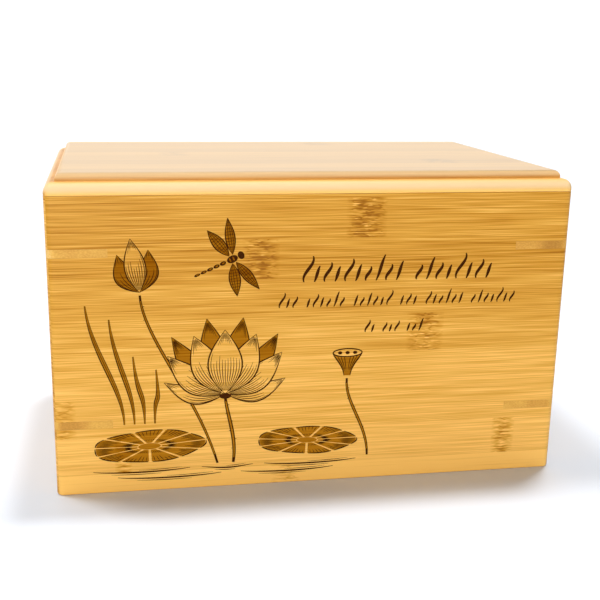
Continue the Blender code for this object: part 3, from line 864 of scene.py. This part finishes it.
def top_profile():
    """(inset, height) pairs from the underside up to the raised field.

    They are a small ease, the rim's quarter round, a level ledge, and the field's quarter round.
    """
    under = [(0.4 * MM, TOP_LOW), (0.12 * MM, TOP_LOW + 0.12 * MM), (0, TOP_LOW + 0.4 * MM),
             (0, TOP_LOW + 0.7 * MM)]
    rim = quarter_round(0, TOP_LOW + RIM_FLAT, RIM_RADIUS, 13)
    rim_top = rim[-1][1]
    field = quarter_round(FIELD_INSET, TOP_HIGH - FIELD_RADIUS, FIELD_RADIUS, 11)
    ledge = [(FIELD_INSET - 0.2 * MM, rim_top), (FIELD_INSET, rim_top),
             (FIELD_INSET, rim_top + MARGIN)]
    return under + rim + ledge + field + [(field[-1][0] + 0.4 * MM, TOP_HIGH)]


def rounded_rectangle(inset):
    """The plan at that inset: each corner's centre stays put, and its radius shrinks."""
    radius = max(CORNER_RADIUS - inset, 0)
    centre = max(inset, CORNER_RADIUS)
    corner = complex(WIDTH / 2 - centre, DEPTH / 2 - centre)
    places = (-corner.conjugate(), -corner, corner.conjugate(), corner)
    turns = np.radians(np.linspace(0, 90, 9))
    starts = (90, 180, 270, 0)
    return np.concatenate([place + radius * np.exp(1j * (turns + math.radians(start)))
                           for place, start in zip(places, starts)])


# How light each strip of the top is from the front edge to the back, and their knuckles. The two
# strips that turn over the rims are pale, partly their own tone and partly a painted highlight
TOP_TONES = (0.96, 0.33, 0.43, 0.29, 0.37, 0.45, 0.32, 0.41, 0.33, 0.96)
TOP_KNUCKLES = ((3, 205.0, 10.0, 0.6), (5, 66.0, 9.0, 0.6), (8, 158.0, 10.0, 0.7))


def top_bamboo():
    """The strips run from side to side. On the ends of the board their fibres show as specks."""
    made = bamboo("bamboo_top", (0, 1), 23.0, TOP_TONES, TOP_KNUCKLES, contrast=0.5, roughness=0.52,
                  painted_rim_highlight=0.90)
    shader = made.node_tree.nodes["Principled BSDF"]
    shader.inputs["Specular IOR Level"].default_value = 0.25
    shader.inputs["Coat IOR"].default_value = 1.55
    shader.inputs["Coat Roughness"].default_value = 0.52
    return made


rows = top_profile()
points, quads, ends = loft(np.array([rounded_rectangle(inset) for inset, _ in rows]),
                           np.array([height for _, height in rows]))
mesh = finished_mesh("top", points, quads.reshape(-1, 4).tolist() + ends)
add_piece("top", mesh, ["top_board"], "bamboo_top", top_bamboo())


# The base: a plain panel let into the rebate, dull and unpolished, held by four brass screws.
# Unscrewing it opens the box.

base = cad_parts["base_panel"]
base.material_slots[0].material = bamboo("bamboo_base", (0, 1), 31.0, roughness=0.55, coat=0.0)

brass, brass_shader, (x, y, z) = new_material("brass")
brass_shader.inputs["Base Color"].default_value = (0.78, 0.55, 0.22, 1.0)
brass_shader.inputs["Metallic"].default_value = 1.0
rough = x.noise(x * 900, y * 900, z * 900) * 0.2 + 0.34
brass.node_tree.links.new(rough.socket, brass_shader.inputs["Roughness"])
for name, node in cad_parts.items():
    if name.startswith("base_screw"):
        node.material_slots[0].material = brass


# The studio: a pale paper floor, a bright wall behind, a soft lamp in front and two wide lamps
# in the ceiling. The camera stands where the photograph was taken, and its lens is shifted as the
# photograph is framed.

# The camera's place, its turns in radians, and the photograph's focal length and centre in pixels
CAMERA = Vector((-100.47, -553.42, 216.52)) * MM
YAW, PITCH_DOWN, ROLL = 0.18118, 0.27018, 0.01624
PHOTO_SIZE = 600
FOCAL_PIXELS = 998.2
CENTRE_PIXEL = (288.1, 324.4)
SENSOR = 36.0

FLOOR_REACH = 6.0
floor_mesh = bpy.data.meshes.new("floor")
corners = [(x * FLOOR_REACH, y * FLOOR_REACH, 0) for x, y in ((-1, -1), (1, -1), (1, 1), (-1, 1))]
floor_mesh.from_pydata(corners, [], [(0, 1, 2, 3)])
floor = bpy.data.objects.new("floor", floor_mesh)
bpy.context.scene.collection.objects.link(floor)
paper, paper_shader, _ = new_material("white_paper")
paper_shader.inputs["Base Color"].default_value = (0.83, 0.89, 0.98, 1.0)
paper_shader.inputs["Roughness"].default_value = 0.9
paper_shader.inputs["Specular IOR Level"].default_value = 0.1
floor_mesh.materials.append(paper)

# How bright the room is all round, the wall behind, the ceiling over it, and the plain backdrop
# that shows beyond the floor
AROUND, BEHIND, ABOVE, BACKDROP = 0.12, 1.42, 0.8, 1.2
world = bpy.data.worlds.new("studio")
bpy.context.scene.world = world
world.use_nodes = True
background = world.node_tree.nodes["Background"]
background.inputs["Color"].default_value = (1.0, 1.0, 1.0, 1.0)
sky = Value(world.node_tree)
# The wall brightens from 60 to 34 degrees off straight behind, and the ceiling from 28 to 18
# degrees off a point that leans 15 degrees back from overhead
towards = sky.node("ShaderNodeTexCoord", out="Generated")
behind = sky.node("ShaderNodeSeparateXYZ", None, {0: towards}, out=1)
overhead = sky.node("ShaderNodeVectorMath", {"operation": "DOT_PRODUCT"},
                    {0: towards, 1: (0.0, 0.26, 0.966)}, out="Value")
strength = ((behind - 0.5) * 3).clamped() * BEHIND + AROUND + ((overhead - 0.88) * 14).clamped() * ABOVE
seen = sky.node("ShaderNodeLightPath", out="Is Camera Ray")
strength = strength + seen * (BACKDROP - strength)
world.node_tree.links.new(strength.socket, background.inputs["Strength"])

LAMP_PLACE, LAMP_AIM = Vector((-0.5, -1.8, 0.33)), Vector((0, 0, 0.08))
lamp = bpy.data.lights.new("front", "AREA")
lamp.shape = "RECTANGLE"
lamp.size, lamp.size_y = 0.9, 0.5
lamp.energy = 17.8
front_lamp = bpy.data.objects.new("front", lamp)
front_lamp.location = LAMP_PLACE
front_lamp.rotation_euler = (LAMP_AIM - LAMP_PLACE).to_track_quat("-Z", "Y").to_euler()
front_lamp.visible_camera = False
bpy.context.scene.collection.objects.link(front_lamp)

# How far each ceiling lamp leans to the side and how wide it looks, in degrees
CEILING = (("ceiling_left", -18, 14), ("ceiling_right", 9, 8))
CEILING_TILT = math.radians(-11)
for name, lean, breadth in CEILING:
    lamp = bpy.data.lights.new(name, "SUN")
    lamp.energy = 1.38
    lamp.angle = math.radians(breadth)
    ceiling = bpy.data.objects.new(name, lamp)
    ceiling.rotation_euler = (CEILING_TILT, math.radians(lean), 0)
    bpy.context.scene.collection.objects.link(ceiling)

# The camera's own axes: it looks forward, with its right and up turned by its roll
forward = Vector((math.sin(YAW) * math.cos(PITCH_DOWN), math.cos(YAW) * math.cos(PITCH_DOWN),
                  -math.sin(PITCH_DOWN)))
level_right = Vector((math.cos(YAW), -math.sin(YAW), 0.0))
level_up = level_right.cross(forward)
right = math.cos(ROLL) * level_right + math.sin(ROLL) * level_up
up = -math.sin(ROLL) * level_right + math.cos(ROLL) * level_up
lens = bpy.data.cameras.new("camera")
lens.sensor_width = SENSOR
lens.lens = FOCAL_PIXELS / PHOTO_SIZE * SENSOR
lens.shift_x = 0.5 - CENTRE_PIXEL[0] / PHOTO_SIZE
lens.shift_y = CENTRE_PIXEL[1] / PHOTO_SIZE - 0.5
lens.clip_start = 0.01
camera = bpy.data.objects.new("camera", lens)
turn = Matrix((right, up, -forward)).transposed().to_4x4()
camera.matrix_world = Matrix.Translation(CAMERA) @ turn
bpy.context.scene.collection.objects.link(camera)
bpy.context.scene.camera = camera
bpy.context.scene.view_settings.view_transform = "Standard"
